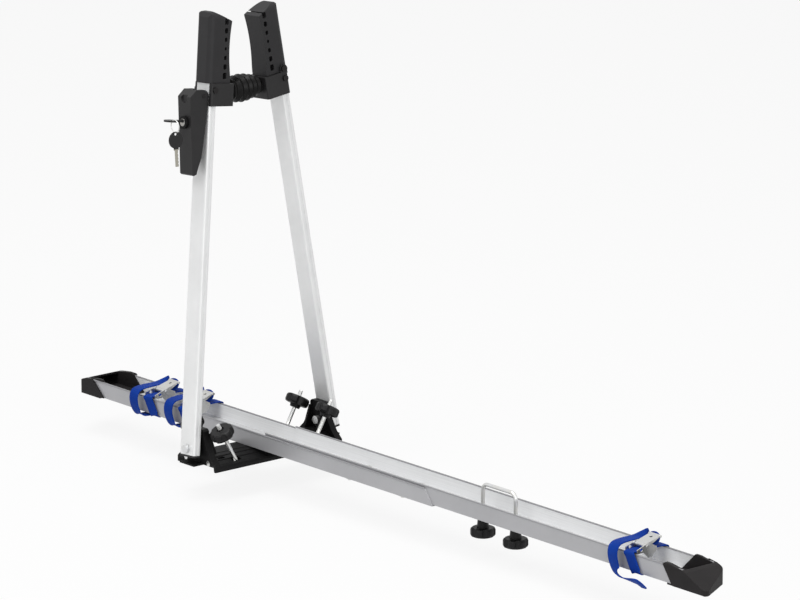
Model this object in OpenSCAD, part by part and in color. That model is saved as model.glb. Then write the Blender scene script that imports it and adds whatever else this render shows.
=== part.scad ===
// Roof mounted bike carrier: wheel rail, folding frame clamp, roof bar clamps and wheel straps.
// X runs along the rail to the front, Y across to the far side, Z up; the origin is the bar seat.

/* [Rail] */
// Outside width of the rear rail channel
rail_w = 65; // [60:1:72]
// Sheet thickness of both rail channels
rail_t = 2; // [1.6:0.1:2.4]
// Wall height of the rear rail channel
rail_h = 25; // [22:1:30]
// Height of the front rail rim above the rear rail rim
rim_step = 3; // [2:0.5:6]
// Length of metal rail behind the frame
rear_len = 387; // [360:5:450]
// Length of metal rail ahead of the frame
front_len = 975; // [940:5:1060]
// Distance from the frame to the hidden start of the front rail
lap_start = 50; // [40:5:120]
// Distance from the frame to the slanted end of the rear rail
lap_end = 429; // [400:1:450]

/* [Base] */
// Height of the base crest above the roof bar
base_h = 12; // [11:0.5:15]
// Half width of the base along the rail
base_half = 46; // [45:1:50]
// Half length of the base along the roof bar
base_len = 112; // [108:1:116]
// Distance from the end of the base to the middle of each arm's foot
foot_gap = 22; // [20:0.5:26]
// Height of the folding axis above the bar seat
fold_z = 25; // [24.5:0.5:27]

/* [Frame] */
// Backward rake of the standing frame in degrees
rake = 4.2; // [2:0.2:6]
// Half distance between the arms at the draw rod
head_half = 67.8; // [65:0.1:71]
// Width of the arm tube along the rail
arm_w = 34; // [30:1:35]
// Thickness of the arm tube across the frame
arm_t = 13; // [12:0.5:14]
// Distance along the arm from the foot to the clamp block
block_h = 515; // [500:1:540]

/* [Clamps] */
// Half spacing of the legs of the roof bar bows
leg_x = 36; // [35:0.5:38]
// Outward lean of the loose base bows in degrees
bow_lean = 29.5; // [20:0.5:31]
// Distance from the frame to the front bow
front_clamp_x = 551; // [520:1:600]
// Radius of the bow rods
rod_r = 3; // [2.5:0.25:3.25]
// Outer radius of the star knobs
knob_r = 18.5; // [16:0.5:19]

/* [Straps] */
// Place of the rearmost wheel strap
strap_a_x = -230; // [-250:5:-215]
// Place of the second wheel strap
strap_b_x = -144; // [-160:5:-125]
// Distance from the end of the front rail back to the front wheel strap
strap_c_in = 108; // [100:1:160]
// Width of the webbing
web_w = 20; // [16:1:21]

/* [Hidden] */
$fn = 48;

nest = 0.2;
foot_y = base_len + foot_gap;
rod_up = block_h + 13;
lean = atan((foot_y - head_half) / rod_up);
strap_c_x = front_len - strap_c_in;
splice_x = [lap_end - 195, lap_end - 73];
cap_out = 52;
lever_len = 119;
web_t = 1.4;
rim_r = base_h + rail_h;
rim_f = rim_r + rim_step;
floor_f = base_h + rail_t;
front_w = rail_w - 2 * rail_t - 2 * nest;
lip_z = -7;
bow_z = lip_z / 2 + 0.2;
bow_y = 72;
seat_half = bow_y - 9;
leg_len = 77;
knob_at = 61;
bracket_t = 10.5;
bracket_y = base_len + bracket_t;
fold_r = 4;
jaw_w = arm_w + 2;
block_w = arm_w + 8;
block_top = block_h + 34;
jaw_top = block_top + 107;
pin_y = -arm_t / 2 - 10;
pin_h = (rod_up + pin_y * sin(lean)) / cos(lean);
lever_top = pin_h + 9.3;
lever_low = pin_h - lever_len;
face_y = pin_y - 25;
lock_h = pin_h - 40;
key_h = lock_h + 2.5;
ring_x = 10.3;
ring_y = face_y - 24;
ring_R = 9.5;
ring_r = 0.8;
jaw_pivot_h = block_top + 5;
cam_y = -9;
jaw_tip = 30;

alu = [0.80, 0.81, 0.83];
black = [0.09, 0.09, 0.10];
zinc = [0.70, 0.71, 0.72];
blue = [0.05, 0.20, 0.62];
brass = [0.72, 0.66, 0.48];

// shared shapes
module rrect(w, h, r) {
  square([w - 2 * r, h], center = true);
  square([w, h - 2 * r], center = true);
  for (i = [-1, 1], j = [-1, 1])
    translate([i * (w / 2 - r), j * (h / 2 - r)])
      circle(r);
}

module along_x(len) {
  rotate([90, 0, 90])
    linear_extrude(len, center = true)
      children();
}

module along_y(y0, y1) {
  translate([0, y1, 0])
    rotate([90, 0, 0])
      linear_extrude(y1 - y0)
        children();
}

module cyl_x(r, len) {
  rotate([0, 90, 0])
    cylinder(r = r, h = len, center = true);
}

module cyl_y(r, y0, y1) {
  translate([0, y0, 0])
    rotate([-90, 0, 0])
      cylinder(r = r, h = y1 - y0);
}

// frame of the standing clamp, raked about the folding axis
module raked() {
  translate([0, 0, fold_z])
    rotate([0, -rake, 0])
      children();
}

// frame of one arm: side -1 is near, 1 is far; local y points into the frame for both
module on_arm(side) {
  raked()
    translate([0, side * foot_y, 0])
      rotate([side * lean, 0, 0])
        scale_side(side)
          children();
}

module scale_side(side) {
  if (side > 0)
    rotate([0, 0, 180])
      children();
  else
    children();
}

// soft band: stations of centre points and width directions, smoothed by corner cutting
function cut_once(p) = concat([p[0]], [for (i = [0 : len(p) - 2], k = [0.25, 0.75])
  p[i] * (1 - k) + p[i + 1] * k], [p[len(p) - 1]]);
function cut(p, n) = n == 0 ? p : cut(cut_once(p), n - 1);
function unit(v) = v / norm(v);
function tangent(p, i) = unit(p[min(i + 1, len(p) - 1)] - p[max(i - 1, 0)]);
function side_dir(w, t) = unit(w - t * (w * t));

module band(path, wide, w, t) {
  p = cut(path, 3);
  d = cut(wide, 3);
  n = len(p);
  pts = [for (i = [0 : n - 1]) let (tn = tangent(p, i), s = side_dir(d[i], tn), u = cross(tn, s))
    for (c = [[-1, -1], [1, -1], [1, 1], [-1, 1]])
      p[i] + s * (c[0] * w / 2) + u * (c[1] * t / 2)];
  sides = [for (i = [0 : n - 2], k = [0 : 3]) let (a = 4 * i + k, b = 4 * i + (k + 1) % 4)
    each [[a, b, b + 4], [a, b + 4, a + 4]]];
  polyhedron(pts, concat([[0, 2, 1], [0, 3, 2]], sides,
    [[4 * n - 4, 4 * n - 3, 4 * n - 2], [4 * n - 4, 4 * n - 2, 4 * n - 1]]));
}

// rail
module channel(w, h, bead_in) {
  difference() {
    translate([-w / 2, 0])
      square([w, h - 1.5]);
    translate([-w / 2 + rail_t, rail_t])
      square([w - 2 * rail_t, h]);
  }
  for (s = [-1, 1])
    translate([s * (w / 2 - bead_in), h - 1.5])
      circle(1.5);
}

module rear_rail() {
  color(alu)
    difference() {
      translate([(lap_end + 10 - rear_len) / 2, 0, base_h])
        along_x(lap_end + 10 + rear_len)
          channel(rail_w, rail_h, 0.5);
      translate([lap_end + 10, 0, base_h])
        rotate([0, -36, 0])
          translate([0, -rail_w, -5])
            cube([60, 2 * rail_w, 2 * rail_h]);
      for (s = [-1, 1]) {
        translate([0, s * 18, base_h - 1])
          cylinder(r = 3.3, h = rail_t + 2);
        for (x = splice_x)
          translate([x, s * 18, base_h - 1])
            cylinder(r = 3.3, h = rail_t + 2);
      }
    }
}

module front_rail() {
  color(alu)
    difference() {
      translate([(lap_start + front_len) / 2, 0, floor_f])
        along_x(front_len - lap_start)
          channel(front_w, rim_f - floor_f, 0.9);
      for (s = [-1, 1], x = splice_x)
        translate([x, s * 18, floor_f - 1])
          cylinder(r = 3.3, h = rail_t + 2);
      for (s = [-1, 1])
        translate([front_clamp_x + s * leg_x, 0, floor_f - 1])
          linear_extrude(rail_t + 2)
            rrect(14, 2 * rod_r + 1.4, rod_r + 0.6);
      // shallow cross grooves set off the seat for the front roof bar
      for (s = [-1, 1])
        translate([front_clamp_x + s * (leg_x - 9.5), 0, floor_f - 0.5])
          cube([2, front_w + 2, 1.6], center = true);
    }
}

module bolt_down(z_head, z_nut) {
  translate([0, 0, z_nut - 7])
    cylinder(r = 3, h = z_head - z_nut + 7);
  translate([0, 0, z_head])
    cylinder(r1 = 6, r2 = 4.5, h = 3.4);
  translate([0, 0, z_nut - 5])
    cylinder(r = 5.6, h = 5, $fn = 6);
}

module splice_bolts() {
  color(zinc)
    for (s = [-1, 1], x = splice_x)
      translate([x, s * 18, 0])
        bolt_down(floor_f + rail_t, base_h);
}

// end caps: x is measured inward from the nose, and the nose is longer on its +y side
cap_skew = 36;

// plan of the slanted nose with one blunt and one sharp rounded corner
module cap_plan(out, blunt, sharp, z, h) {
  l = norm([cap_skew, 2 * out]);
  n = [2 * out, cap_skew] / l;
  b = [cap_skew + blunt * (l - cap_skew) / (2 * out), -out + blunt];
  t = [sharp * (l + cap_skew) / (2 * out), out - sharp];
  translate([0, 0, z])
    linear_extrude(h)
      polygon([[130, -out], [b[0], -out], b - n * blunt, t - n * sharp, [t[0], out], [130, out]]);
  translate([b[0], b[1], z])
    cylinder(r = blunt, h = h);
  translate([t[0], t[1], z])
    cylinder(r = sharp, h = h);
}

module cap_side(z0, low, top) {
  polygon([[-1, low - 1], [116, low - 1], [116, z0 + rail_t], [87, top + 0.93], [83.3, top + 0.93],
    [70, top - 1.4], [50, top - 4], [44, top - 6], [4, low + 7], [-1, low + 3]]);
}

module cap(w, z0, rim) {
  top = rim + 3;
  low = z0 - 2.6;
  out = w / 2 + 2.6;
  inner = w / 2 - rail_t - 2;
  difference() {
    intersection() {
      translate([60, 0, (low + top) / 2])
        along_x(140)
          rrect(2 * out, top - low, 2.5);
      cap_plan(out + 0.35, 12, 7, low - 1, top - low + 2);
      along_y(-out - 1, out + 1)
        cap_side(z0, low, top);
    }
    // hollow between the cheeks, open above and towards the rail
    intersection() {
      translate([0, -inner, z0 + rail_t + 1.6])
        cube([140, 2 * inner, 60]);
      translate([4.5, 0, 0])
        cap_plan(inner + 0.35, 9, 5, low, 80);
      along_y(-out, out)
        polygon([[140, z0], [140, top + 30], [51, top + 30], [51, top - 7], [43, top - 9.4],
          [14, low + 8.4], [14, z0]]);
    }
    // room for the rail sheet
    translate([cap_out + 100, 0, z0])
      along_x(200)
        difference() {
          translate([-w / 2 - 0.1, 0])
            square([w + 0.2, rim - z0 + 0.1]);
          translate([-w / 2 + rail_t + 0.6, rail_t + 0.1])
            square([w - 2 * rail_t - 1.2, rim]);
        }
    for (s = [-1, 1])
      translate([cap_out + 100, s * (w / 2 - 0.7), rim - 1.5])
        cyl_x(2.2, 200);
    // slanted skirts: each side is cut back along its own line
    along_y(w / 2 + 0.05, out + 1)
      polygon([[94, top + 1], [70, low - 1], [130, low - 1], [130, top + 1]]);
    along_y(-out - 1, -w / 2 - 0.05)
      polygon([[63, top + 1], [99, low - 1], [130, low - 1], [130, top + 1]]);
    translate([84, -w, low - 3])
      cube([60, 2 * w, 5.65]);
  }
}

module rear_cap() {
  color(black)
    translate([-rear_len - cap_out, 0, 0])
      cap(rail_w, base_h, rim_r);
}

module front_cap() {
  color(black)
    translate([front_len + cap_out, 0, 0])
      rotate([0, 0, 180])
        cap(front_w, floor_f, rim_f);
}

// base
function saddle_half(b) = [[10, base_h], [11, base_h - 1], [20, base_h - 2], [20.8, base_h - 3.8],
  [22.6, base_h - 3.8], [23.4, base_h - 2.8], [31, base_h - 4.8], [31.8, base_h - 6.6],
  [33.4, base_h - 6.6], [34.2, base_h - 5.8], [b - 5, base_h - 8.4], [b - 1.5, 1.2], [b, -2],
  [b, lip_z], [b - 4, lip_z], [b - 5, 0]];

module base_saddle() {
  half = saddle_half(base_half);
  color(black)
    difference() {
      along_y(-base_len, base_len)
        polygon(concat(half, [for (k = [1 : len(half)]) [-half[len(half) - k][0], half[len(half) - k][1]]]));
      for (s = [-1, 1]) {
        translate([-base_half + 4.6, s > 0 ? seat_half : -base_len - 1, -2])
          cube([2 * base_half - 9.2, base_len + 1 - seat_half, 2.8]);
        for (i = [-1, 1])
          translate([i * (leg_x - 0.5) - 5, s * (bow_y + 4.25) - 8.25, -1])
            cube([10, 16.5, base_h + 2]);
        translate([0, s * 18, -1])
          cylinder(r = 3.3, h = base_h + 2);
        translate([0, s * 18, -1])
          cylinder(r = 6.2, h = 6.5);
        for (i = [-1, 1]) {
          translate([i * 27, 0, 3.6])
            cyl_y(2.6, s * (base_len - 8) - 9, s * (base_len - 8) + 9);
          translate([i * 27 - 3, s * 97 - 6, base_h - 5.6])
            cube([6, 12, 8]);
        }
      }
    }
}

module base_bolts() {
  color(zinc)
    for (s = [-1, 1])
      translate([0, s * 18, 0]) {
        translate([0, 0, 0.4])
          cylinder(r = 3, h = base_h + rail_t);
        translate([0, 0, base_h + rail_t])
          cylinder(r1 = 6, r2 = 4.5, h = 3.4);
        translate([0, 0, 0.5])
          cylinder(r = 5.6, h = 5, $fn = 6);
      }
}

module bracket_side() {
  b = base_half;
  polygon([[-b, lip_z], [-b + 4, lip_z], [-b + 5, 0], [b - 5, 0], [b - 4, lip_z], [b, lip_z], [b, 2],
    [b - 12, 13], [21, 33], [17.5, 44], [17.5, 51], [14.5, 54], [-14.5, 54], [-17.5, 51], [-17.5, 44],
    [-21, 33], [-b + 12, 13], [-b, 2]]);
}

module bracket(side) {
  rotate([0, 0, side > 0 ? 0 : 180])
    difference() {
      union() {
        along_y(base_len, bracket_y)
          bracket_side();
        for (i = [-1, 1])
          translate([i * 15, 0, 0])
            along_x(4)
              polygon([[base_len + 1, base_h], [base_len - 14, base_h], [base_len - 14, base_h + 3],
                [base_len - 3, 46], [base_len + 1, 46]]);
        translate([-17, bracket_y - 1, 0])
          cube([34, foot_y + arm_t / 2 + 2 - bracket_y, 2.6]);
      }
      translate([0, 0, fold_z])
        cyl_y(fold_r + 0.1, base_len - 20, bracket_y + 1);
      for (i = [-1, 1])
        translate([i * 27, 0, 3.6]) {
          cyl_y(2.7, base_len - 1, bracket_y + 1);
          cyl_y(4.7, bracket_y - 4, bracket_y + 1);
        }
    }
}

module near_bracket() {
  color(black)
    bracket(-1);
}

module far_bracket() {
  color(black)
    bracket(1);
}

module bracket_screws() {
  color(zinc)
    for (a = [0, 180], i = [-1, 1])
      rotate([0, 0, a])
        translate([i * 27, 0, 3.6]) {
          cyl_y(2.5, base_len - 15, bracket_y - 3);
          cyl_y(4.4, bracket_y - 4, bracket_y - 0.6);
        }
}

module fold_bolts() {
  color(zinc)
    for (a = [0, 180])
      rotate([0, 0, a])
        translate([0, 0, fold_z]) {
          cyl_y(fold_r, base_len - 4, foot_y + arm_t / 2 + 5);
          cyl_y(6.5, base_len - 5, base_len);
          cyl_y(6.2, foot_y + arm_t / 2 + 1.5, foot_y + arm_t / 2 + 5);
        }
}

// bows and knobs
module bow(half, len, bend) {
  for (s = [-1, 1]) {
    translate([s * half, 0, bend])
      cylinder(r = rod_r, h = len - bend);
    translate([s * (half - bend), 0, bend])
      rotate([90, 0, 0])
        rotate([0, 0, s > 0 ? -90 : 180])
          rotate_extrude(angle = 90)
            translate([bend, 0])
              circle(rod_r);
  }
  cyl_x(rod_r, 2 * (half - bend));
}

module leaning(side) {
  translate([0, side * bow_y, bow_z])
    rotate([-side * bow_lean, 0, 0])
      children();
}

module near_bow() {
  color(zinc)
    leaning(-1)
      bow(leg_x, leg_len, 7);
}

module far_bow() {
  color(zinc)
    leaning(1)
      bow(leg_x, leg_len, 7);
}

// star knob with its hub below the grip, centred on the middle of the grip
module knob(hub = 12) {
  difference() {
    union() {
      intersection() {
        translate([0, 0, -7])
          linear_extrude(14)
            difference() {
              circle(knob_r, $fn = 72);
              for (a = [0 : 60 : 300])
                rotate(a + 30)
                  translate([knob_r + 2.4, 0])
                    circle(5.6);
            }
        rotate_extrude($fn = 72)
          polygon([[0, -7], [knob_r - 3, -7], [knob_r - 1, -6], [knob_r, -3.5], [knob_r, 3],
            [knob_r - 1.2, 5.4], [knob_r - 4, 6.6], [0, 7]]);
      }
      translate([0, 0, -hub])
        cylinder(r1 = 7.5, r2 = 9, h = hub - 6);
    }
    translate([0, 0, -hub - 8])
      cylinder(r = rod_r + 0.08, h = hub + 28);
    translate([0, 0, 5])
      cylinder(r = 6, h = 5);
  }
}

module near_knob_front() {
  color(black)
    leaning(-1)
      translate([leg_x, 0, knob_at])
        knob();
}

module near_knob_back() {
  color(black)
    leaning(-1)
      translate([-leg_x, 0, knob_at])
        knob();
}

module far_knob_front() {
  color(black)
    leaning(1)
      translate([leg_x, 0, knob_at])
        knob();
}

module far_knob_back() {
  color(black)
    leaning(1)
      translate([-leg_x, 0, knob_at])
        knob();
}

front_bow_top = rim_f + 18;
front_knob_z = -15;
strip_z = floor_f - 6.5;

module front_bow() {
  color(zinc)
    translate([front_clamp_x, 0, front_bow_top])
      rotate([180, 0, 0])
        bow(leg_x, front_bow_top - front_knob_z + 8, 10);
}

module clamp_strip() {
  color(zinc)
    difference() {
      translate([front_clamp_x, 0, strip_z])
        linear_extrude(3.5)
          rrect(2 * leg_x + 26, 30, 4);
      for (s = [-1, 1])
        translate([front_clamp_x + s * leg_x, 0, 0])
          cylinder(r = rod_r + 0.1, h = 30);
    }
}

module front_knob_a() {
  color(black)
    translate([front_clamp_x - leg_x, 0, front_knob_z])
      rotate([180, 0, 0])
        knob(strip_z - 0.1 - front_knob_z);
}

module front_knob_b() {
  color(black)
    translate([front_clamp_x + leg_x, 0, front_knob_z])
      rotate([180, 0, 0])
        knob(strip_z - 0.1 - front_knob_z);
}

// arms
module arm_section(wall) {
  difference() {
    rrect(arm_w, arm_t, 2.5);
    if (wall > 0)
      rrect(arm_w - 2 * wall, arm_t - 2 * wall, 1);
    if (wall > 0)
      for (s = [-1, 1])
        translate([s * arm_w / 2, 0])
          square([1.4, 2], center = true);
  }
}

module arm(side) {
  difference() {
    on_arm(side)
      translate([0, 0, -10.4])
        linear_extrude(block_top + 75.4)
          arm_section(1.8);
    translate([0, side * foot_y, fold_z])
      cyl_y(fold_r + 0.08, -30, 30);
    raked()
      translate([0, 0, rod_up])
        cyl_y(4.6, -100, 100);
    on_arm(side)
      translate([0, 0, block_h + 24])
        cyl_x(2.6, 80);
  }
}

module near_arm() {
  color(alu)
    arm(-1);
}

module far_arm() {
  color(alu)
    difference() {
      arm(1);
      on_arm(1)
        translate([0, 0, jaw_pivot_h])
          cyl_x(4.1, 80);
      on_arm(1)
        translate([-40, -20, block_top - 1])
          cube([80, 40, 200]);
    }
}

module arm_spacers() {
  color(black)
    for (side = [-1, 1])
      difference() {
        translate([0, 0, fold_z])
          rotate([0, 0, side > 0 ? 0 : 180])
            cyl_y(10, bracket_y + 0.3, foot_y);
        translate([0, 0, fold_z])
          cyl_y(fold_r + 0.08, -200, 200);
        on_arm(side)
          translate([0, 0, -40])
            linear_extrude(100)
              arm_section(0);
      }
}

module arm_plugs() {
  color(black)
    for (side = [-1, 1])
      on_arm(side)
        translate([0, 0, -13.2])
          difference() {
            union() {
              linear_extrude(2.8)
                rrect(arm_w + 0.6, arm_t + 0.6, 2.8);
              linear_extrude(5)
                rrect(arm_w - 3.6, arm_t - 3.6, 1);
            }
            translate([0, 0, -1])
              linear_extrude(9)
                rrect(arm_w - 8, arm_t - 8, 1);
          }
}

// clamp head, local y runs inward from the arm
module block_body() {
  difference() {
    translate([0, (36.5 - arm_t / 2) / 2, block_h])
      linear_extrude(block_top - block_h)
        rrect(block_w, 36.5 + arm_t / 2, 3);
    translate([0, 0, block_h - 1])
      linear_extrude(60)
        arm_section(0);
    for (i = [-1, 1])
      translate([i * 14, 25, block_h - 1])
        linear_extrude(10)
          rrect(6, 12, 2);
  }
}

module near_block() {
  color(black)
    difference() {
      on_arm(-1)
        block_body();
      raked()
        translate([0, 0, rod_up])
          cyl_y(4.6, -100, 0);
      on_arm(-1)
        translate([0, 0, block_h + 24])
          cyl_x(2.6, 80);
    }
}

module far_block() {
  color(black)
    difference() {
      union() {
        on_arm(1)
          block_body();
        on_arm(1)
          for (i = [-1, 1])
            translate([i * (jaw_w / 2 + 1.8), 0, 0])
              along_x(2.8)
                difference() {
                  union() {
                    translate([-6, block_top - 3])
                      square([12, 8]);
                    translate([0, jaw_pivot_h])
                      circle(6.4);
                  }
                  translate([0, jaw_pivot_h])
                    circle(3.2);
                }
      }
      raked()
        translate([0, 0, rod_up])
          cyl_y(4.6, 0, 100);
      on_arm(1)
        translate([0, 0, block_h + 24])
          cyl_x(2.6, 80);
    }
}

module block_screws() {
  color(zinc)
    for (side = [-1, 1])
      on_arm(side)
        translate([0, 0, block_h + 24]) {
          cyl_x(2.5, block_w + 1);
          for (i = [-1, 1])
            translate([i * (block_w / 2 + 1.2), 0, 0])
              cyl_x(4.5, 2.4);
        }
}

module jaw_plan(back_r, face_r) {
  back = -arm_t / 2 - 4.5;
  half = jaw_w / 2;
  translate([-half, back + back_r])
    square([jaw_w, 32 - face_r - back - back_r]);
  translate([back_r - half, back])
    square([jaw_w - 2 * back_r, 20]);
  translate([face_r - half, 12])
    square([jaw_w - 2 * face_r, 20]);
  for (i = [-1, 1]) {
    translate([i * (half - back_r), back + back_r])
      circle(back_r);
    translate([i * (half - face_r), 32 - face_r])
      circle(face_r);
  }
}

module jaw_front(h0, r) {
  half = jaw_w / 2;
  translate([-half, h0])
    square([jaw_w, jaw_top - r - h0]);
  translate([r - half, h0])
    square([jaw_w - 2 * r, jaw_top - h0]);
  for (i = [-1, 1])
    translate([i * (half - r), jaw_top - r])
      circle(r);
}

module jaw_body(low) {
  h0 = block_top + low;
  mid = (h0 + jaw_top) / 2;
  difference() {
    intersection() {
      along_x(jaw_w)
        polygon([[-arm_t / 2 - 4.5, h0], [32, h0], [32, jaw_top - 17], [29, jaw_top - 14],
          [-3, jaw_top], [-8, jaw_top - 1.5], [-arm_t / 2 - 4.5, jaw_top - 9]]);
      translate([0, 0, h0])
        linear_extrude(140)
          jaw_plan(9, 4);
      along_y(-60, 60)
        jaw_front(h0, 12);
    }
    translate([0, 26 + 250, mid])
      cyl_x(250, 100, $fn = 360);
    for (k = [-3 : 3])
      translate([0, 19, mid - 2 + k * 13.5])
        along_x(100)
          rrect(4 + abs(k), 5 + 1.4 * abs(k), 1.9);
  }
}

module near_jaw() {
  color(black)
    difference() {
      on_arm(-1)
        jaw_body(0);
      on_arm(-1)
        translate([0, 0, block_top - 20])
          linear_extrude(85.02)
            arm_section(0);
    }
}

module far_jaw() {
  color(black)
    difference() {
      on_arm(1)
        jaw_body(0.4);
      on_arm(1)
        translate([0, 0, jaw_pivot_h])
          cyl_x(3.07, 100);
      // heel relief, so that the jaw can tip outward over the block
      on_arm(1)
        translate([0, 0, jaw_pivot_h])
          rotate([-jaw_tip - 2, 0, 0])
            translate([-50, -60, -60])
              cube([100, 120, 60 - (jaw_pivot_h - block_top) + 0.4]);
    }
}

module jaw_bolt() {
  color(zinc)
    on_arm(1)
      translate([0, 0, jaw_pivot_h]) {
        cyl_x(3, jaw_w + 7);
        for (i = [-1, 1])
          translate([i * (jaw_w / 2 + 4.4), 0, 0])
            cyl_x(5, 2.4);
      }
}

// draw rod with its eye on the lever pin
eye_y = -foot_y + (rod_up * tan(lean) + pin_y / cos(lean));

module draw_rod() {
  color(zinc)
    difference() {
      raked()
        translate([0, 0, rod_up]) {
          cyl_y(4, eye_y + 5, foot_y - rod_up * tan(lean) - 2);
          translate([0, eye_y, 0])
            cyl_x(7, 12);
        }
      on_arm(-1)
        translate([0, pin_y, pin_h])
          cyl_x(3.1, 60);
    }
}

module lever_pin() {
  color(zinc)
    on_arm(-1)
      translate([0, pin_y, pin_h])
        cyl_x(3, 31);
}

inner_y = foot_y - rod_up * tan(lean) - 36.5 / cos(lean);

module bellows() {
  n = 7;
  l = 2 * inner_y + 8;
  color(black)
    difference() {
      raked()
        translate([0, 0, rod_up])
          rotate([-90, 0, 0])
            rotate_extrude($fn = 72)
              polygon(concat(
                [for (i = [0 : 2 * n]) let (u = i / (2 * n), e = bulge(u) - (i % 2) * 3)
                  [e, -l / 2 + u * l]],
                [for (i = [2 * n : -1 : 0]) let (u = i / (2 * n), e = bulge(u) - (i % 2) * 3)
                  [e - 2, -l / 2 + u * l]]));
      for (side = [-1, 1])
        on_arm(side)
          translate([-50, 36.5 - 60, block_h - 60])
            cube([100, 60, 150]);
    }
}

function bulge(u) = 13 + 8.5 * pow(sin(180 * pow(u, 0.82)), 1.2);

module release_spring() {
  turns = 6;
  l = 2 * (inner_y - 0.95);
  steps = turns * 16;
  color(zinc)
    raked()
      translate([0, 0, rod_up])
        rotate([-90, 0, 0])
          coil(6.4, 0.9, turns, l, steps);
}

module coil(R, r, turns, l, steps) {
  m = 8;
  pts = [for (i = [0 : steps], k = [0 : m - 1]) let (a = 360 * turns * i / steps, b = 360 * k / m,
    q = R + r * cos(b))
    [q * cos(a), q * sin(a), -l / 2 + l * i / steps + r * sin(b)]];
  body = [for (i = [0 : steps - 1], k = [0 : m - 1]) let (a = i * m + k, b = i * m + (k + 1) % m)
    each [[a, b + m, b], [a, a + m, b + m]]];
  polyhedron(pts, concat([[for (k = [0 : m - 1]) k]], body,
    [[for (k = [m - 1 : -1 : 0]) steps * m + k]]));
}

// quick release lever
module lever() {
  color(black)
    on_arm(-1)
      difference() {
        along_x(30)
          difference() {
            union() {
              polygon([[pin_y, lever_top], [pin_y - 14, lever_top], [face_y, lever_top - 11],
                [face_y + 10.5, lever_low + 2], [face_y + 13, lever_low], [face_y + 18, lever_low + 2],
                [face_y + 21, lever_low + 13], [-arm_t / 2 - 9, lever_low + 27],
                [-arm_t / 2 - 0.8, pin_h - 12], [-arm_t / 2 - 0.8, pin_h], [pin_y, pin_h]]);
              translate([pin_y, pin_h])
                circle(9.3);
            }
            translate([face_y + 30, lever_low + 3])
              circle(11);
          }
        along_x(20)
          polygon([[pin_y - 8.6, pin_h + 30], [pin_y - 13, pin_h + 6], [face_y + 4.2, pin_h - 8],
            [face_y + 13, lever_low + 13], [0, lever_low + 13], [0, pin_h + 30]]);
        translate([0, pin_y, pin_h])
          cyl_x(3.07, 60);
        translate([0, 0, pin_h - 4])
          cyl_y(7.5, face_y - 10, face_y + 3);
        translate([0, 0, lock_h])
          cyl_y(8.6, face_y - 10, face_y + 20);
      }
}

module lock_barrel() {
  color(black)
    on_arm(-1)
      translate([0, 0, lock_h])
        difference() {
          union() {
            cyl_y(8.6, face_y + 1.5, face_y + 24);
            cyl_y(9.6, face_y - 1, face_y + 2.2);
          }
          cyl_y(5.6, face_y - 3, face_y + 21);
        }
}

module lock_plug() {
  color(zinc)
    on_arm(-1)
      translate([0, 0, lock_h])
        difference() {
          cyl_y(5.5, face_y - 1.4, face_y + 20.8);
          translate([-1.3, face_y - 3, -0.2])
            cube([2.6, 21, 5.2]);
        }
}

// keys lie in a local plane with the blade along +y
module key_flat(bow_r, reach) {
  difference() {
    union() {
      circle(bow_r, $fn = 64);
      translate([-4, 0])
        square([8, bow_r + 3]);
      difference() {
        translate([-2.4, bow_r])
          square([4.8, reach]);
        for (k = [0 : 3])
          translate([2.9, bow_r + 8 + k * 5])
            circle(1.3, $fn = 16);
      }
    }
    children();
  }
}

module lock_key() {
  color(black)
    on_arm(-1) {
      difference() {
        translate([0, ring_y + 2, key_h - 1.25])
          cylinder(r = 11.5, h = 2.5, $fn = 64);
        translate([5.4, ring_y, key_h - 5])
          cylinder(r = 3.8, h = 10);
      }
      translate([-4.4, ring_y + 9, key_h - 1.25])
        cube([8.8, face_y - 4 - ring_y - 9, 2.5]);
      translate([-1, face_y - 5, key_h - 2.3])
        cube([2, 21, 4.6]);
    }
}

// the ring and the spare key hang plumb from the bow of the key in the lock
module hang() {
  translate([ring_x, ring_y, key_h + 1.4])
    rotate([lean, 0, 0])
      translate([0, 0, ring_r - ring_R])
        children();
}

module key_ring() {
  color(zinc)
    on_arm(-1)
      hang()
        rotate([90, 0, 0])
          rotate_extrude($fn = 72)
            translate([ring_R, 0])
              circle(ring_r, $fn = 20);
}

module spare_key() {
  color(brass)
    on_arm(-1)
      hang()
        translate([-1.1, 0, -ring_R - 10.8])
          rotate([90, 0, 90])
            mirror([0, 1, 0])
              linear_extrude(2.2)
                key_flat(12.5, 27.5)
                  translate([0, -9.2])
                    circle(2.6, $fn = 32);
}

// wheel straps: the buckle lies on the near rim, webbing runs around the rail and through the cam
module buckle_frame(rim, w) {
  half = w / 2;
  translate([-12.4, -half + 1, rim])
    cube([24.8, half + 7, 1.5]);
  for (i = [-1, 1])
    translate([i * (web_w / 2 + 1.9), 0, 0])
      along_x(1.4)
        difference() {
          polygon([[-half + 1, rim], [-half + 1, rim + 5.5], [-14, rim + 11], [cam_y + 3, rim + 12],
            [8, rim + 5], [8, rim], [-1, rim - 9], [-8, rim - 9], [-17, rim]]);
          translate([-21.5, rim + 4.6])
            circle(2.4);
        }
  translate([0, cam_y, rim + 7.2])
    cyl_x(2, web_w + 6.4);
  for (i = [-1, 1])
    translate([i * (web_w / 2 + 3.1), cam_y, rim + 7.2])
      cyl_x(3.2, 1);
}

module cam_lever(rim) {
  translate([0, cam_y, rim + 7.2])
    difference() {
      union() {
        along_x(web_w + 1.4) {
          circle(3.9);
          polygon([[-1, 2.6], [-0.8, 4.2], [24, 11], [24.6, 9.2], [4, 1.6]]);
        }
        translate([0, 24.6, 10.2])
          cyl_x(2.1, web_w + 4);
        for (i = [-1, 1])
          translate([i * (web_w / 2 - 0.1), 0, 0])
            along_x(1.4)
              polygon([[0, 0], [0, 3.6], [20, 9.4], [20, 7.4], [11, 2.6]]);
      }
      cyl_x(2.06, 60);
      translate([0, 17, 0])
        cylinder(r = 2.4, h = 20);
    }
}

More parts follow.
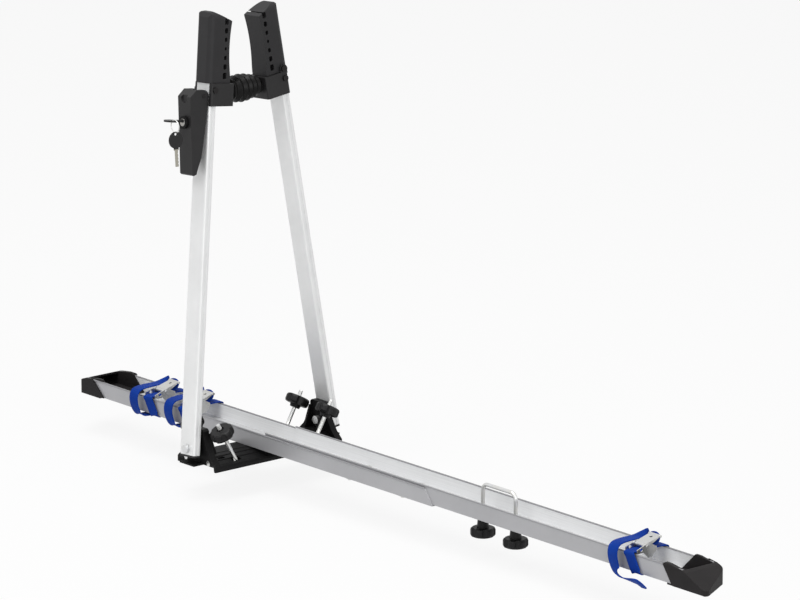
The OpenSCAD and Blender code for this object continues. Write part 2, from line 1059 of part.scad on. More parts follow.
module buckle_at(x, rim, w) {
  color(zinc)
    translate([x, 0, 0])
      buckle_frame(rim, w);
}

module buckle_a() {
  buckle_at(strap_a_x, rim_r, rail_w);
}

module buckle_b() {
  buckle_at(strap_b_x, rim_r, rail_w);
}

module buckle_c() {
  buckle_at(strap_c_x, rim_f, front_w);
}

module buckle_lever_a() {
  color(zinc)
    translate([strap_a_x, 0, 0])
      cam_lever(rim_r);
}

module buckle_lever_b() {
  color(zinc)
    translate([strap_b_x, 0, 0])
      cam_lever(rim_r);
}

module buckle_lever_c() {
  color(zinc)
    translate([strap_c_x, 0, 0])
      cam_lever(rim_f);
}

// webbing from the buckle's far end around the rail, in under the cam and back beside the buckle
function loop_path(w, z0, rim) = [[0, 2, rim + 2.35], [0, 14, rim + 2.3], [0, w / 2 - 1, rim + 1.7],
  [0, w / 2 + 3.6, rim + 0.6], [1, w / 2 + 2.6, rim - 8], [6, w / 2 + 1.6, z0 + 4],
  [7, w / 2 + 0.8, z0 - 1.6], [8, w / 2 - 6, z0 - 1.2], [14, -w / 2 + 6, z0 - 1.2],
  [14, -w / 2 - 0.8, z0 - 1.6], [11, -w / 2 - 1.6, z0 + 4], [4, -w / 2 - 2.6, rim - 8],
  [1, -w / 2 - 4.2, rim + 1], [0, -w / 2, rim + 2.35], [0, -20, rim + 2.35], [0, cam_y - 2, rim + 2.35],
  [0, cam_y + 5, rim + 2.5], [0, 4, rim + 6], [-1, 13, rim + 8], [-6, 22, rim + 10], [-15, 26, rim + 11],
  [-24, 20, rim + 11], [-26, 6, rim + 10.5], [-26, -14, rim + 11], [-26, -w / 2 - 3, rim + 10],
  [-26, -w / 2 - 10, rim + 4], [-25, -w / 2 - 12.5, rim - 8], [-22, -w / 2 - 9.5, z0 + 2]];
function loop_wide() = concat(flat_x(18), [[1, 0, 0], [0.8, -0.4, 0.4], [0, -0.75, 0.65],
  [-0.8, -0.4, 0.4], [-1, 0, 0]], [for (i = [0 : 4]) [-1, 0, 0]]);
function tuck_path(w, z0) = [[-17, -w / 2 - 5, z0 - 4.6], [-12, -w / 2 + 6, z0 - 4.4], [-6, 4, z0 - 4.4]];
function tail_path(w, z0) = [[-19, -w / 2 - 9.5, z0 - 5], [-10, -w / 2 - 10, z0 - 10],
  [6, -w / 2 - 10, z0 - 11], [25, -w / 2 - 9, z0 - 10], [42, -w / 2 - 8, z0 - 15]];
function flat_x(n) = [for (i = [0 : n - 1]) [1, 0, 0]];

module rear_loop() {
  p = concat(loop_path(rail_w, base_h, rim_r), tuck_path(rail_w, base_h));
  d = concat(loop_wide(), [for (i = [0 : 2]) [-1, 0, 0]]);
  band(p, d, web_w, web_t);
}

module rear_strap_a() {
  color(blue)
    translate([strap_a_x, 0, 0])
      rear_loop();
}

module rear_strap_b() {
  color(blue)
    translate([strap_b_x, 0, 0])
      rear_loop();
}

module front_strap() {
  p = concat(loop_path(front_w, floor_f, rim_f), tail_path(front_w, floor_f));
  d = concat(loop_wide(), [[-1, 0, 0.2], [-0.6, 0, 0.6], [0, 0.2, 1], [0, 0.5, 0.8], [0, 0.7, 0.6]]);
  color(blue)
    translate([strap_c_x, 0, 0])
      band(p, d, web_w, web_t);
}

rear_rail();
front_rail();
splice_bolts();
rear_cap();
front_cap();
base_saddle();
base_bolts();
near_bracket();
far_bracket();
bracket_screws();
fold_bolts();
rear_strap_a();
rear_strap_b();
front_strap();
buckle_a();
buckle_b();
buckle_c();
buckle_lever_a();
buckle_lever_b();
buckle_lever_c();
near_bow();
near_knob_front();
near_knob_back();
far_bow();
far_knob_front();
far_knob_back();
front_bow();
clamp_strip();
front_knob_a();
front_knob_b();
near_arm();
far_arm();
arm_spacers();
arm_plugs();
near_block();
far_block();
near_jaw();
far_jaw();
jaw_bolt();
draw_rod();
bellows();
release_spring();
lever_pin();
lever();
lock_barrel();
lock_plug();
lock_key();
key_ring();
spare_key();
block_screws();
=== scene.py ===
import math
import bpy
import bmesh
from mathutils import Matrix, Vector


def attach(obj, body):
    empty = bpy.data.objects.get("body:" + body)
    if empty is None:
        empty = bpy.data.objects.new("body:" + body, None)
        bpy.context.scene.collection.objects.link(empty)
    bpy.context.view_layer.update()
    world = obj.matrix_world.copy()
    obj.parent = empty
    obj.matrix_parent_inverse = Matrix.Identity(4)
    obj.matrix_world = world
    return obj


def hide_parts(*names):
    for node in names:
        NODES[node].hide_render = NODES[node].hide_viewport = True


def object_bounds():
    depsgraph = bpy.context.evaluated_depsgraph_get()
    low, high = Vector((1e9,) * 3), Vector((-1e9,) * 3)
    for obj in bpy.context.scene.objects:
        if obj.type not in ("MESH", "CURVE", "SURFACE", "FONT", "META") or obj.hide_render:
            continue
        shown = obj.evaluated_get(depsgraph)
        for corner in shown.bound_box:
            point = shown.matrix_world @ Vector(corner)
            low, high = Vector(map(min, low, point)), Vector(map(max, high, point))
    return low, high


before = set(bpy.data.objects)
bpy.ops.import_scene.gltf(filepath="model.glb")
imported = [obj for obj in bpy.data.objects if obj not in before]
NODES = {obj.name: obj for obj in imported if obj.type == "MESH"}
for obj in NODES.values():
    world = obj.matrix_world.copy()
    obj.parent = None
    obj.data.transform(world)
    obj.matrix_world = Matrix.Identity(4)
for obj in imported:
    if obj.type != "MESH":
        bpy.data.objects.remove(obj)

CAD_BOX = [list(corner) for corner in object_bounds()]
MM = 0.001

# camera: the photograph's viewpoint, with the picture's own measures in pixels
IMAGE_W, IMAGE_H = 800, 600
SENSOR_MM = 36.0
FAR_CLIP = 200.0
AZIMUTH = math.radians(49.829)
ELEVATION = math.radians(14.188)
DISTANCE = 9.0
FOCAL_PX = 6176.6
AXIS_PX = (409.57, 279.86)
TARGET = Vector((0.350, 0.0, 0.330))


def make_camera():
    look = Vector((-math.sin(AZIMUTH) * math.cos(ELEVATION),
                   math.cos(AZIMUTH) * math.cos(ELEVATION), -math.sin(ELEVATION)))
    data = bpy.data.cameras.new("camera")
    data.sensor_width = SENSOR_MM
    data.lens = FOCAL_PX / IMAGE_W * SENSOR_MM
    data.shift_x = (IMAGE_W / 2 - AXIS_PX[0]) / IMAGE_W
    data.shift_y = (AXIS_PX[1] - IMAGE_H / 2) / IMAGE_W
    data.clip_end = FAR_CLIP
    camera = bpy.data.objects.new("camera", data)
    camera.location = TARGET - look * DISTANCE
    camera.rotation_euler = look.to_track_quat("-Z", "Y").to_euler()
    bpy.context.scene.collection.objects.link(camera)
    bpy.context.scene.camera = camera


make_camera()


# materials
EDGE_SAMPLES = 6
EDGE_FULL, EDGE_NONE = 0.80, 0.985


class Maker:
    """One material's node tree, with short calls for the nodes used here."""

    def __init__(self, name):
        self.mat = bpy.data.materials.new(name)
        self.mat.use_nodes = True
        self.tree = self.mat.node_tree
        self.bsdf = self.tree.nodes["Principled BSDF"]

    def node(self, kind, **values):
        made = self.tree.nodes.new(kind)
        for key, value in values.items():
            setattr(made, key, value)
        return made

    def put(self, socket, value):
        if isinstance(value, bpy.types.NodeSocket):
            self.tree.links.new(value, socket)
        else:
            socket.default_value = value

    def coords(self, scale=(1, 1, 1)):
        where = self.node("ShaderNodeTexCoord")
        mapping = self.node("ShaderNodeMapping")
        self.put(mapping.inputs["Vector"], where.outputs["Object"])
        mapping.inputs["Scale"].default_value = scale
        return mapping.outputs["Vector"]

    def noise(self, scale, detail, rough, stretch=(1, 1, 1)):
        made = self.node("ShaderNodeTexNoise")
        self.put(made.inputs["Vector"], self.coords(stretch))
        made.inputs["Scale"].default_value = scale
        made.inputs["Detail"].default_value = detail
        made.inputs["Roughness"].default_value = rough
        return made.outputs["Fac"]

    def ramp(self, fac, *stops):
        """A grey ramp between two stops, each a place and a value."""
        made = self.node("ShaderNodeValToRGB")
        self.put(made.inputs["Fac"], fac)
        for element, (at, value) in zip(made.color_ramp.elements, stops):
            element.position = at
            element.color = (value, value, value, 1.0)
        return made.outputs["Color"]

    def math(self, kind, a, b=0.0):
        made = self.node("ShaderNodeMath", operation=kind)
        self.put(made.inputs[0], a)
        self.put(made.inputs[1], b)
        return made.outputs[0]

    def mix(self, fac, a, b):
        made = self.node("ShaderNodeMix", data_type="RGBA")
        self.put(made.inputs["Factor"], fac)
        for name, value in (("A", a), ("B", b)):
            socket = [s for s in made.inputs if s.name == name and s.type == "RGBA"][0]
            if isinstance(value, (tuple, list)):
                value = (value[0], value[1], value[2], 1.0)
            self.put(socket, value)
        return [s for s in made.outputs if s.type == "RGBA"][0]

    def bump(self, height, distance, strength, normal=None):
        made = self.node("ShaderNodeBump")
        self.put(made.inputs["Height"], height)
        made.inputs["Distance"].default_value = distance
        made.inputs["Strength"].default_value = strength
        if normal is not None:
            self.put(made.inputs["Normal"], normal)
        return made.outputs["Normal"]

    def edge(self, radius):
        """Rounded edge normal and a mask that is 1 on edges."""
        bevel = self.node("ShaderNodeBevel", samples=EDGE_SAMPLES)
        bevel.inputs["Radius"].default_value = radius
        geometry = self.node("ShaderNodeNewGeometry")
        dot = self.node("ShaderNodeVectorMath", operation="DOT_PRODUCT")
        self.put(dot.inputs[0], bevel.outputs["Normal"])
        self.put(dot.inputs[1], geometry.outputs["Normal"])
        mask = self.ramp(dot.outputs["Value"], (EDGE_FULL, 1.0), (EDGE_NONE, 0.0))
        return bevel.outputs["Normal"], mask

    def set(self, **values):
        names = {"color": "Base Color", "rough": "Roughness", "metal": "Metallic", "normal": "Normal",
                 "spec": "Specular IOR Level", "sheen": "Sheen Weight", "sheen_rough": "Sheen Roughness"}
        for key, value in values.items():
            self.put(self.bsdf.inputs[names[key]], value)
        return self.mat


SILVER = (0.43, 0.43, 0.445)
PALE_SILVER = (0.84, 0.845, 0.845)
# the next two tones are painted light: a channel's inner walls and floor painted paler than its outside
PAINTED_WALL_LIGHT = (0.94, 0.945, 0.95)
PAINTED_FLOOR_LIGHT = (0.60, 0.605, 0.61)
# painted shade: a darker tone painted on the tops of a channel's rims
PAINTED_RIM_SHADE = (0.26, 0.26, 0.27)
WORN = (0.92, 0.93, 0.94)
CHARCOAL = (0.010, 0.0095, 0.0100)
BLUE = (0.003, 0.040, 0.34)
# what a warm patch on plated steel does to its tone
WARM = (1.0, 0.97, 0.90)
# how metallic the anodised faces are, and how much less so inside a channel
ANODISED, INNER_LOSS = 0.3, 0.25
# a face whose normal rises less than this is a wall
WALL_RISE = 0.5
# noise scales that draw lines along X for the rails and along Z for the arms
RAIL_LINES = (8.0, 2600.0, 2600.0)
ARM_LINES = (2600.0, 2600.0, 10.0)
# each channel's half width, floor height and rim height inside, in metres
REAR_INSIDE = (0.0314, 0.0135, 0.0352)
FRONT_INSIDE = (0.0292, 0.0155, 0.0382)
# height at which the spare key's head ends, in metres
KEY_NECK = 0.4800
KEY_BRUSH = (2400.0, 2400.0, 60.0)
# spacing of the webbing's yarns and ribs, in metres
YARN_PITCH, RIB_PITCH = 0.00125, 0.0016
# radii of softened edges and depths of fine relief, in metres
ALUMINIUM_EDGE, PLASTIC_EDGE, STEEL_EDGE = 0.0005, 0.0008, 0.0004
METAL_RELIEF, KEY_RELIEF, WEAVE_RELIEF = 0.00003, 0.00004, 0.00022
# noise scales, in marks per metre
BLOTCHES, SCUFFS, CLOUDS = 9.0, 60.0, 24.0
MOTTLES, PATCHES = 420.0, 38.0
KEY_GRAIN, FUZZ, FADING = 2400.0, 3200.0, 30.0


def aluminium(name, stretch, tone, inside=None):
    """Satin anodised extrusion: fine drawing lines along it and faint handling marks.

    inside holds a channel's half width, floor height and rim height: its inner walls and floor are painted
    paler, as painted light, and the tops of its rims painted darker, as painted shade.
    """
    m = Maker(name)
    lines = m.noise(1.0, 2.0, 0.6, stretch)
    blotch = m.noise(BLOTCHES, 4.0, 0.6)
    scuff = m.ramp(m.noise(SCUFFS, 6.0, 0.7), (0.60, 0.0), (0.78, 1.0))
    light = tuple(min(1.0, c * 1.04) for c in tone)
    dark = tuple(c * 0.93 for c in tone)
    color = m.mix(m.ramp(blotch, (0.3, 0.0), (0.7, 1.0)), dark, light)
    metal = ANODISED
    if inside:
        half, floor, top = inside
        facing = m.node("ShaderNodeSeparateXYZ")
        m.put(facing.inputs[0], m.node("ShaderNodeNewGeometry").outputs["Normal"])
        upright = m.math("LESS_THAN", facing.outputs[2], WALL_RISE)
        place = m.node("ShaderNodeSeparateXYZ")
        m.put(place.inputs[0], m.coords())
        within = m.math("LESS_THAN", m.math("ABSOLUTE", place.outputs[1]), half)
        above = m.math("GREATER_THAN", place.outputs[2], floor)
        within = m.math("MULTIPLY", within, above)
        # painted light: the channel's inner walls and floor are painted paler, the walls most
        color = m.mix(within, color, m.mix(upright, PAINTED_FLOOR_LIGHT, PAINTED_WALL_LIGHT))
        metal = m.math("SUBTRACT", ANODISED, m.math("MULTIPLY", within, INNER_LOSS))
        # painted shade: everything above the rim height is painted darker
        color = m.mix(m.math("GREATER_THAN", place.outputs[2], top), color, PAINTED_RIM_SHADE)
    color = m.mix(m.math("MULTIPLY", m.ramp(lines, (0.35, 0.0), (0.65, 1.0)), 0.18), color, dark)
    rough = m.math("ADD", m.math("MULTIPLY", lines, 0.14), 0.31)
    rough = m.math("ADD", rough, m.math("MULTIPLY", scuff, 0.10))
    normal, rim = m.edge(ALUMINIUM_EDGE)
    color = m.mix(m.math("MULTIPLY", rim, 0.25), color, WORN)
    normal = m.bump(lines, METAL_RELIEF, 0.5, normal)
    return m.set(color=color, rough=rough, metal=metal, normal=normal)


def plastic(name, tone, grain=2400.0, rough=0.46, wear=0.35, depth=0.00006, spec=0.30):
    """Moulded plastic: spark-eroded grain, a little dust and paler worn edges."""
    m = Maker(name)
    fine = m.noise(grain, 2.0, 0.5)
    cloud = m.noise(CLOUDS, 4.0, 0.6)
    normal, rim = m.edge(PLASTIC_EDGE)
    pale = tuple(c * 2.6 + 0.006 for c in tone)
    color = m.mix(m.ramp(cloud, (0.35, 0.0), (0.75, 1.0)), tone, tuple(c * 1.45 + 0.002 for c in tone))
    color = m.mix(m.math("MULTIPLY", fine, 0.25), color, tuple(c * 1.8 for c in tone))
    color = m.mix(m.math("MULTIPLY", rim, wear), color, pale)
    roughness = m.math("ADD", m.math("MULTIPLY", cloud, 0.16), rough - 0.08)
    return m.set(color=color, rough=roughness, normal=m.bump(fine, depth, 0.6, normal), spec=spec)


def steel(name, tone, rough=0.24, rim=0.93):
    """Plated or blackened steel: a faint crystal mottle, warm and cool patches, paler edges."""
    m = Maker(name)
    mottle = m.noise(MOTTLES, 3.0, 0.6)
    patch = m.noise(PATCHES, 3.0, 0.6)
    normal, worn = m.edge(STEEL_EDGE)
    color = m.mix(m.ramp(patch, (0.35, 0.0), (0.7, 1.0)), tone, tuple(a * b for a, b in zip(tone, WARM)))
    color = m.mix(m.math("MULTIPLY", mottle, 0.22), color, tuple(c * 0.72 for c in tone))
    color = m.mix(m.math("MULTIPLY", worn, 0.4), color, (rim, rim, rim))
    roughness = m.math("ADD", m.math("MULTIPLY", mottle, 0.16), rough)
    return m.set(color=color, rough=roughness, metal=1.0, normal=m.bump(mottle, METAL_RELIEF, 0.35, normal))


def key_metal(name, tone, cover):
    """A brushed key blade below a black moulded head, told apart by height in the key's own place."""
    m = Maker(name)
    place = m.node("ShaderNodeSeparateXYZ")
    m.put(place.inputs[0], m.coords())
    head = m.math("GREATER_THAN", place.outputs[2], KEY_NECK)
    brush = m.noise(1.0, 2.0, 0.6, KEY_BRUSH)
    grain = m.noise(KEY_GRAIN, 2.0, 0.5)
    normal, worn = m.edge(STEEL_EDGE)
    blade = m.mix(m.math("MULTIPLY", brush, 0.3), tone, tuple(c * 0.6 for c in tone))
    blade = m.mix(m.math("MULTIPLY", worn, 0.4), blade, tuple(min(1.0, c * 1.5) for c in tone))
    shell = m.mix(m.math("MULTIPLY", grain, 0.25), cover, tuple(c * 1.8 for c in cover))
    shell = m.mix(m.math("MULTIPLY", worn, 0.3), shell, tuple(c * 2.6 + 0.006 for c in cover))
    height = m.mix(head, brush, grain)
    rough = m.math("ADD", m.math("MULTIPLY", head, 0.16), 0.30)
    return m.set(color=m.mix(head, blade, shell), rough=rough, metal=m.math("SUBTRACT", 1.0, head), spec=0.30,
                 normal=m.bump(height, KEY_RELIEF, 0.5, normal))


def webbing(name, tone):
    """Woven nylon: ribs across, yarns along, from the strap's own length and width in metres."""
    m = Maker(name)
    where = m.node("ShaderNodeUVMap", uv_map="weave")
    split = m.node("ShaderNodeSeparateXYZ")
    m.put(split.inputs[0], where.outputs[0])
    across, along = split.outputs[0], split.outputs[1]
    yarn = m.math("SINE", m.math("MULTIPLY", across, 2 * math.pi / YARN_PITCH))
    shift = m.math("MULTIPLY", yarn, 0.7)
    rib = m.math("SINE", m.math("ADD", m.math("MULTIPLY", along, 2 * math.pi / RIB_PITCH), shift))
    crossing = m.math("MULTIPLY", m.math("MULTIPLY", rib, yarn), 0.6)
    height = m.math("ADD", crossing, m.math("MULTIPLY", rib, 0.5))
    weave = m.math("ADD", m.math("MULTIPLY", height, 0.42), 0.5)
    fuzz = m.noise(FUZZ, 2.0, 0.6)
    fade = m.noise(FADING, 3.0, 0.6)
    dark = tuple(c * 0.45 for c in tone)
    pale = (tone[0] * 1.2 + 0.008, tone[1] * 1.3 + 0.025, min(1.0, tone[2] * 1.2 + 0.05))
    # painted shade: the weave's low places, between the yarns, are painted darker
    color = m.mix(weave, dark, tone)
    color = m.mix(m.math("MULTIPLY", fade, 0.5), color, pale)
    color = m.mix(m.math("MULTIPLY", fuzz, 0.2), color, dark)
    normal = m.bump(m.math("ADD", weave, m.math("MULTIPLY", fuzz, 0.2)), WEAVE_RELIEF, 0.9)
    return m.set(color=color, rough=0.62, normal=normal, sheen=0.02, sheen_rough=0.4, spec=0.07)


MAT = {
    "rear_rail": aluminium("rear_rail_aluminium", RAIL_LINES, SILVER, REAR_INSIDE),
    "front_rail": aluminium("front_rail_aluminium", RAIL_LINES, SILVER, FRONT_INSIDE),
    "arm": aluminium("arm_aluminium", ARM_LINES, PALE_SILVER),
    "plastic": plastic("black_plastic", CHARCOAL),
    "knob": plastic("knob_plastic", (0.004, 0.0038, 0.0042), grain=2600.0, spec=0.24),
    "cap": plastic("cap_plastic", (0.013, 0.0118, 0.0121), grain=1800.0, rough=0.58, wear=0.25,
                   depth=0.00008, spec=0.13),
    "base": plastic("base_black", (0.003, 0.0029, 0.0031), grain=1600.0, rough=0.52, wear=0.25, spec=0.14),
    "rubber": plastic("jaw_rubber", (0.012, 0.0115, 0.0125), grain=1500.0, rough=0.56, wear=0.2,
                      depth=0.0001),
    "boot": plastic("boot_rubber", (0.0020, 0.0018, 0.0018), grain=1400.0, rough=0.36, wear=0.2, spec=0.16),
    "zinc": steel("zinc_steel", (0.70, 0.71, 0.72)),
    "buckle": steel("buckle_steel", (0.58, 0.59, 0.60), rough=0.22),
    "dark": steel("blackened_steel", (0.030, 0.029, 0.030), rough=0.30, rim=0.06),
    "lock": steel("lock_metal", (0.40, 0.39, 0.37), rough=0.30),
    "key": key_metal("key_metal", (0.40, 0.385, 0.33), CHARCOAL),
    "web": webbing("blue_webbing", BLUE),
}
LOOK = {
    "rear_rail": ["rear_rail"],
    "front_rail": ["front_rail"],
    "arm": ["near_arm", "far_arm"],
    "plastic": ["near_block", "far_block", "lever", "arm_plugs", "arm_spacers", "lock_key"],
    "knob": ["near_knob_front", "near_knob_back", "far_knob_front", "far_knob_back",
             "front_knob_a", "front_knob_b"],
    "cap": ["rear_cap", "front_cap"],
    "base": ["base_saddle", "near_bracket", "far_bracket", "lock_barrel"],
    "rubber": ["near_jaw", "far_jaw"],
    "boot": ["bellows"],
    "zinc": ["splice_bolts", "base_bolts", "bracket_screws", "fold_bolts", "near_bow", "far_bow", "front_bow",
             "clamp_strip", "draw_rod", "release_spring", "key_ring"],
    "buckle": ["buckle_a", "buckle_b", "buckle_c", "buckle_lever_a", "buckle_lever_b", "buckle_lever_c"],
    "dark": ["jaw_bolt", "block_screws", "lever_pin"],
    "lock": ["lock_plug"],
    "key": ["spare_key"],
}
for look, names in LOOK.items():
    for name in names:
        mesh = NODES[name].data
        mesh.materials.clear()
        mesh.materials.append(MAT[look])


# new pieces
def new_object(name, bm, material, smooth=True):
    mesh = bpy.data.meshes.new(name)
    bm.normal_update()
    bm.to_mesh(mesh)
    bm.free()
    mesh.materials.append(material)
    for face in mesh.polygons:
        face.use_smooth = smooth
    made = bpy.data.objects.new(name, mesh)
    bpy.context.scene.collection.objects.link(made)
    return made


# wheel straps, in millimetres: the rails' widths, undersides and rims, the cam's place and the webbing
RAIL_W, FRONT_W = 65.0, 60.6
BASE_H, FLOOR_F = 12.0, 14.0
RIM_R, RIM_F = 37.0, 40.0
CAM_Y = -9.0
WEB_W, WEB_T = 20.0, 1.4
STRAPS = {"rear_strap_a": -230.0, "rear_strap_b": -144.0, "front_strap": 867.0}
SMOOTHING = 4
# the front strap's free end is cut to a point: its length in metres and the share of the width at its tip
POINT_LEN, POINT_TIP = 0.016, 0.12


def loop_path(w, z0, rim):
    """The webbing's centre line round the rail and through the buckle, from the buckle's place."""
    return [(0, 2, rim + 2.35), (0, 14, rim + 2.3), (0, w / 2 - 1, rim + 1.7), (0, w / 2 + 3.6, rim + 0.6),
            (1, w / 2 + 2.6, rim - 8), (6, w / 2 + 1.6, z0 + 4), (7, w / 2 + 0.8, z0 - 1.6),
            (8, w / 2 - 6, z0 - 1.2), (14, -w / 2 + 6, z0 - 1.2), (14, -w / 2 - 0.8, z0 - 1.6),
            (11, -w / 2 - 1.6, z0 + 4), (4, -w / 2 - 2.6, rim - 8), (1, -w / 2 - 4.2, rim + 1),
            (0, -w / 2, rim + 2.35), (0, -20, rim + 2.35), (0, CAM_Y - 2, rim + 2.35),
            (0, CAM_Y + 5, rim + 2.5), (0, 4, rim + 6), (-1, 13, rim + 8), (-6, 22, rim + 10),
            (-15, 26, rim + 11), (-24, 20, rim + 11), (-26, 6, rim + 10.5), (-26, -14, rim + 11),
            (-26, -w / 2 - 3, rim + 10), (-26, -w / 2 - 10, rim + 4), (-25, -w / 2 - 12.5, rim - 8),
            (-22, -w / 2 - 9.5, z0 + 2)]


# the webbing's width direction at each point of the loop, the rear straps' tucked end and the front tail
LOOP_WIDE = ([(1, 0, 0)] * 19 + [(0.8, -0.4, 0.4), (0, -0.75, 0.65), (-0.8, -0.4, 0.4)]
             + [(-1, 0, 0)] * 6)
TUCK_WIDE = [(-1, 0, 0)] * 3
TAIL_WIDE = [(-0.9, 0.4, 0), (-0.7, 0.65, -0.2), (-0.6, 0.65, -0.35), (-0.45, 0.6, -0.6), (-0.3, 0.5, -0.8)]


def tuck_path(w, z0):
    return [(-17, -w / 2 - 5, z0 - 4.6), (-12, -w / 2 + 6, z0 - 4.4), (-6, 4, z0 - 4.4)]


def tail_path(w, z0):
    return [(-19, -w / 2 - 9.5, z0 - 5), (-10, -w / 2 - 10, z0 - 10), (6, -w / 2 - 10, z0 - 11),
            (25, -w / 2 - 9, z0 - 10), (42, -w / 2 - 8, z0 - 15)]


def corner_cut(points, times):
    """A smoother line: each corner is cut at a quarter of its sides, several times over."""
    for _ in range(times):
        cut = [points[0]]
        for a, b in zip(points, points[1:]):
            cut += [a * 0.75 + b * 0.25, a * 0.25 + b * 0.75]
        points = cut + [points[-1]]
    return points


def strap_frames(points, wide):
    """Centre, width direction, face direction and length so far at each station, in metres."""
    points = corner_cut([Vector(p) for p in points], SMOOTHING)
    wide = corner_cut([Vector(w) for w in wide], SMOOTHING)
    frames, run = [], 0.0
    for i, (p, w) in enumerate(zip(points, wide)):
        tangent = (points[min(i + 1, len(points) - 1)] - points[max(i - 1, 0)]).normalized()
        side = (w - tangent * w.dot(tangent)).normalized()
        if i:
            run += (p - points[i - 1]).length
        frames.append((p * MM, side, tangent.cross(side), run * MM))
    return frames


# across the webbing: offset over the half width, offset over the half thickness; the edges are rounded
SECTION = [(-0.965, -1), (-0.6, -1), (-0.2, -1), (0.2, -1), (0.6, -1), (0.965, -1),
           (0.995, -0.5), (0.995, 0.5),
           (0.965, 1), (0.6, 1), (0.2, 1), (-0.2, 1), (-0.6, 1), (-0.965, 1),
           (-0.995, 0.5), (-0.995, -0.5)]


def strap(name, x):
    front = name == "front_strap"
    w, z0, rim = (FRONT_W, FLOOR_F, RIM_F) if front else (RAIL_W, BASE_H, RIM_R)
    path = loop_path(w, z0, rim) + (tail_path(w, z0) if front else tuck_path(w, z0))
    wide = LOOP_WIDE + (TAIL_WIDE if front else TUCK_WIDE)
    frames = strap_frames([(p[0] + x, p[1], p[2]) for p in path], wide)
    length = frames[-1][3]
    bm = bmesh.new()
    uv = bm.loops.layers.uv.new("weave")
    rings = []
    for p, side, face, run in frames:
        share = min(1.0, POINT_TIP + (length - run) / POINT_LEN) if front else 1.0
        half = WEB_W / 2 * MM * share
        rings.append([bm.verts.new(p + side * (a * half) + face * (b * WEB_T / 2 * MM)) for a, b in SECTION])
    count = len(SECTION)
    for i in range(len(rings) - 1):
        for k in range(count):
            j = (k + 1) % count
            quad = bm.faces.new((rings[i][k], rings[i][j], rings[i + 1][j], rings[i + 1][k]))
            for loop, (at, ring) in zip(quad.loops, ((k, i), (j, i), (j, i + 1), (k, i + 1))):
                loop[uv].uv = (SECTION[at][0] * WEB_W / 2 * MM, frames[ring][3])
    for ring, at, flip in ((rings[0], frames[0], True), (rings[-1], frames[-1], False)):
        end = bm.faces.new(list(reversed(ring)) if flip else ring)
        for loop in end.loops:
            loop[uv].uv = (0.0, at[3])
    bmesh.ops.recalc_face_normals(bm, faces=bm.faces[:])
    made = new_object(name + "_webbing", bm, MAT["web"])
    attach(made, "carrier")
    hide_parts(name)


for strap_name, strap_x in STRAPS.items():
    strap(strap_name, strap_x)


# rolled threads on the legs of the base bows, in millimetres, where they stand clear of the knobs
BOW_LEAN = math.radians(29.5)
BOW_Y, BOW_Z, LEG_X = 72.0, -3.3, 36.0
THREAD_R, THREAD_PITCH, THREAD_DEPTH = 2.98, 1.0, 0.20
THREAD_SINK, THREAD_FLANK, THREAD_CREST = 0.05, 0.42, 0.06
THREAD_STEPS = 20
THREAD_RUNS = [(27.0, 48.6), (68.4, 76.2)]


def add_thread(bm, place, low, high):
    """A helical ridge on a rod of radius THREAD_R, in the rod's own millimetres, moved by place."""
    count = int((high - low) / THREAD_PITCH * THREAD_STEPS)
    foot, crest = THREAD_R - THREAD_SINK, THREAD_R + THREAD_DEPTH
    profile = [(foot, -THREAD_FLANK), (crest, -THREAD_CREST), (crest, THREAD_CREST), (foot, THREAD_FLANK)]
    rings = []
    for i in range(count + 1):
        turn = 2 * math.pi * i / THREAD_STEPS
        rise = low + THREAD_PITCH * i / THREAD_STEPS
        fade = min(1.0, i / THREAD_STEPS, (count - i) / THREAD_STEPS)
        ring = []
        for r, z in profile:
            out = foot + (r - foot) * fade
            at = Vector((out * math.cos(turn), out * math.sin(turn), rise + z))
            ring.append(bm.verts.new(place @ at * MM))
        rings.append(ring)
    for a, b in zip(rings, rings[1:]):
        for k in range(len(profile)):
            j = (k + 1) % len(profile)
            bm.faces.new((a[k], a[j], b[j], b[k]))
    bm.faces.new(list(reversed(rings[0])))
    bm.faces.new(rings[-1])


def bow_threads(name, side):
    bm = bmesh.new()
    place = Matrix.Translation((0, side * BOW_Y, BOW_Z)) @ Matrix.Rotation(-side * BOW_LEAN, 4, "X")
    for end in (-1, 1):
        for low, high in THREAD_RUNS:
            add_thread(bm, place @ Matrix.Translation((end * LEG_X, 0, 0)), low, high)
    bmesh.ops.recalc_face_normals(bm, faces=bm.faces[:])
    made = new_object(name + "_threads", bm, MAT["zinc"])
    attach(made, name)


bow_threads("near_bow", -1)
bow_threads("far_bow", 1)


# light, floor and background; each lamp has a place and a size in metres and a power in watts
LAMPS = {
    "key": ((0.4, -3.2, 3.8), 2.6, 62.0),
    "fill": ((3.8, -1.2, 1.8), 2.4, 50.0),
    "top": ((-0.2, -0.6, 4.6), 2.8, 100.0),
}
WHITE = (1.0, 1.0, 1.0, 1.0)
SOFT_LIGHT, SHOWN_LIGHT = 0.35, 1.0
FLOOR_TONE = (0.80, 0.80, 0.80, 1.0)
FLOOR_GLOW = 0.88
FLOOR_SIZE = 90.0
# the floor lies below the front knobs when their bow is let down
FLOOR_DROP = 0.0305


def area_light(name, place, size, power):
    data = bpy.data.lights.new(name, "AREA")
    data.shape = "DISK"
    data.size = size
    data.energy = power
    lamp = bpy.data.objects.new(name, data)
    lamp.location = place
    lamp.rotation_euler = (TARGET - Vector(place)).to_track_quat("-Z", "Y").to_euler()
    bpy.context.scene.collection.objects.link(lamp)


for lamp_name, (lamp_place, lamp_size, lamp_power) in LAMPS.items():
    area_light(lamp_name, lamp_place, lamp_size, lamp_power)


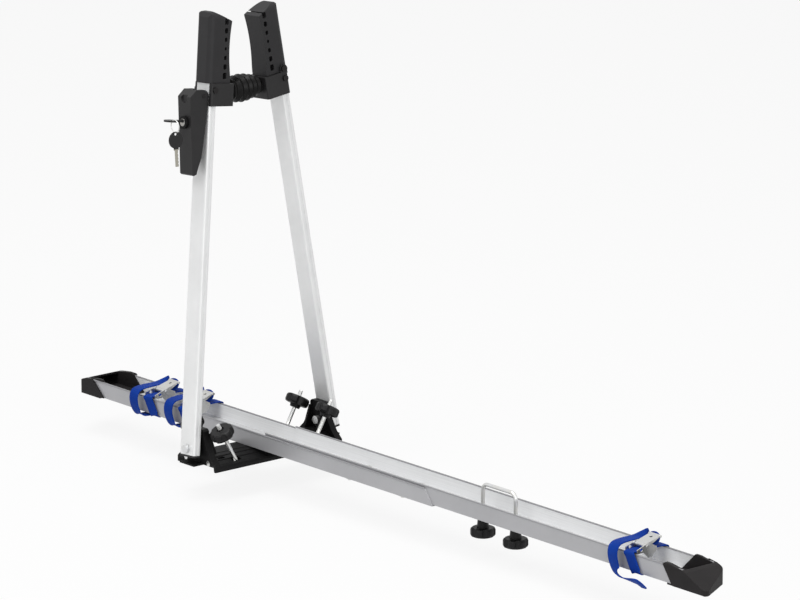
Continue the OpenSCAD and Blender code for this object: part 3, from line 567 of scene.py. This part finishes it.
def seen_directly(tree):
    """1 for camera, glossy and transmission rays."""
    path = tree.nodes.new("ShaderNodeLightPath")
    total = None
    for name in ("Is Camera Ray", "Is Glossy Ray", "Is Transmission Ray"):
        if total is None:
            total = path.outputs[name]
            continue
        join = tree.nodes.new("ShaderNodeMath")
        join.operation = "MAXIMUM"
        tree.links.new(total, join.inputs[0])
        tree.links.new(path.outputs[name], join.inputs[1])
        total = join.outputs[0]
    return total


def make_world():
    world = bpy.data.worlds.new("studio")
    bpy.context.scene.world = world
    world.use_nodes = True
    tree = world.node_tree
    soft = tree.nodes["Background"]
    soft.inputs["Color"].default_value = WHITE
    soft.inputs["Strength"].default_value = SOFT_LIGHT
    shown = tree.nodes.new("ShaderNodeBackground")
    shown.inputs["Color"].default_value = WHITE
    shown.inputs["Strength"].default_value = SHOWN_LIGHT
    mix = tree.nodes.new("ShaderNodeMixShader")
    tree.links.new(seen_directly(tree), mix.inputs[0])
    tree.links.new(soft.outputs[0], mix.inputs[1])
    tree.links.new(shown.outputs[0], mix.inputs[2])
    tree.links.new(mix.outputs[0], tree.nodes["World Output"].inputs["Surface"])


def make_floor():
    mat = bpy.data.materials.new("pale_floor")
    mat.use_nodes = True
    tree = mat.node_tree
    tree.nodes.clear()
    lit = tree.nodes.new("ShaderNodeBsdfDiffuse")
    lit.inputs["Color"].default_value = FLOOR_TONE
    glow = tree.nodes.new("ShaderNodeEmission")
    glow.inputs["Color"].default_value = WHITE
    glow.inputs["Strength"].default_value = SHOWN_LIGHT
    share = tree.nodes.new("ShaderNodeMath")
    share.operation = "MULTIPLY"
    tree.links.new(seen_directly(tree), share.inputs[0])
    share.inputs[1].default_value = FLOOR_GLOW
    mix = tree.nodes.new("ShaderNodeMixShader")
    out = tree.nodes.new("ShaderNodeOutputMaterial")
    tree.links.new(share.outputs[0], mix.inputs[0])
    tree.links.new(lit.outputs[0], mix.inputs[1])
    tree.links.new(glow.outputs[0], mix.inputs[2])
    tree.links.new(mix.outputs[0], out.inputs["Surface"])
    bm = bmesh.new()
    bmesh.ops.create_grid(bm, x_segments=1, y_segments=1, size=FLOOR_SIZE)
    floor = new_object("floor", bm, mat, False)
    floor.location = (0, 0, CAD_BOX[0][2] - FLOOR_DROP)


make_world()
make_floor()
bpy.context.scene.view_settings.view_transform = "Standard"
